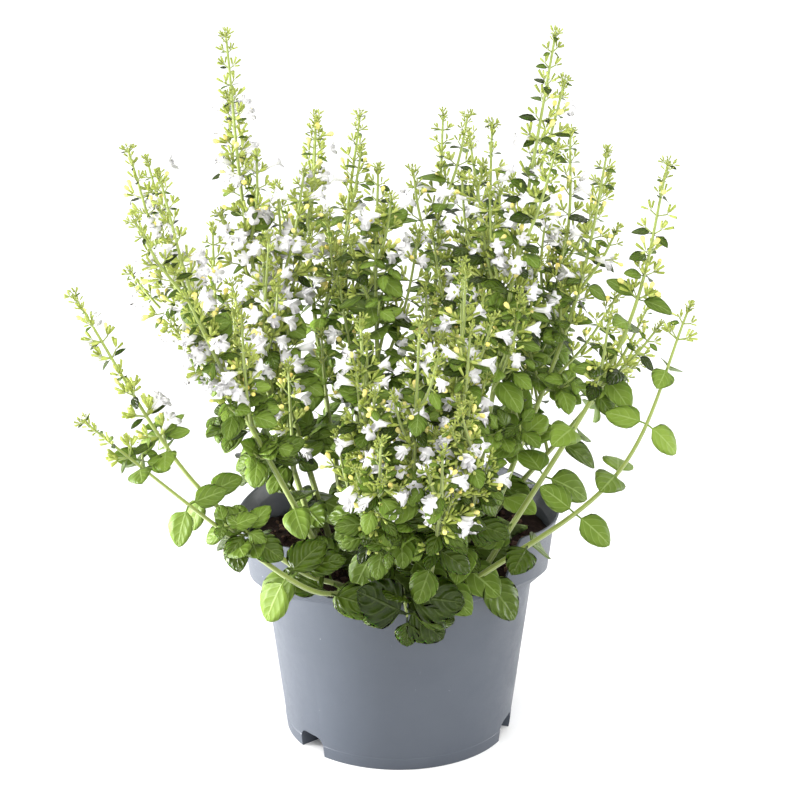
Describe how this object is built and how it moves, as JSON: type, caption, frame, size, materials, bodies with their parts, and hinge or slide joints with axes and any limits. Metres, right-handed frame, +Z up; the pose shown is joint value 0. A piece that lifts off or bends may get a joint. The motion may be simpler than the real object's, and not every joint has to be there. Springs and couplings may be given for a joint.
{
  "type": "potted lesser calamint",
  "caption": "Flowering lesser calamint: square leafy stems with whorls of green calyces and small white two-lipped blooms, in soil in a plastic nursery pot with grip ears.",
  "frame": {"origin": "on the pot's axis, on the surface that the pot stands on", "axes": "+Z up along the pot's axis, -Y towards the viewer, +X to the viewer's right; the pot's ears lie 7.5 degrees anticlockwise of the X axis seen from above"},
  "size_m": [0.4284, 0.3821, 0.5243],
  "materials": {
    "pot": "satin moulded blue-grey polypropylene",
    "soil": null,
    "plant": null
  },
  "bodies": {
    "root": {"pot": "pot", "soil": "soil", "stem_tall_left": "plant", "stem_left_thick": "plant", "stem_left_back": "plant", "stem_left_low": "plant", "stem_left_shoot": "plant", "stem_left_upright": "plant", "stem_back_left_a": "plant", "stem_back_left_b": "plant", "stem_leafy_mid": "plant", "stem_back_mid": "plant", "stem_mid_right": "plant", "stem_back_right": "plant", "stem_tall_right": "plant", "stem_right_a": "plant", "stem_right_b": "plant", "stem_right_long": "plant", "stem_right_low": "plant", "stem_right_back": "plant", "stem_front_a": "plant", "stem_front_b": "plant", "stem_front_c": "plant", "stem_front_d": "plant", "stem_front_e": "plant", "stem_front_f": "plant", "stem_front_droop": "plant"}
  },
  "joints": []
}
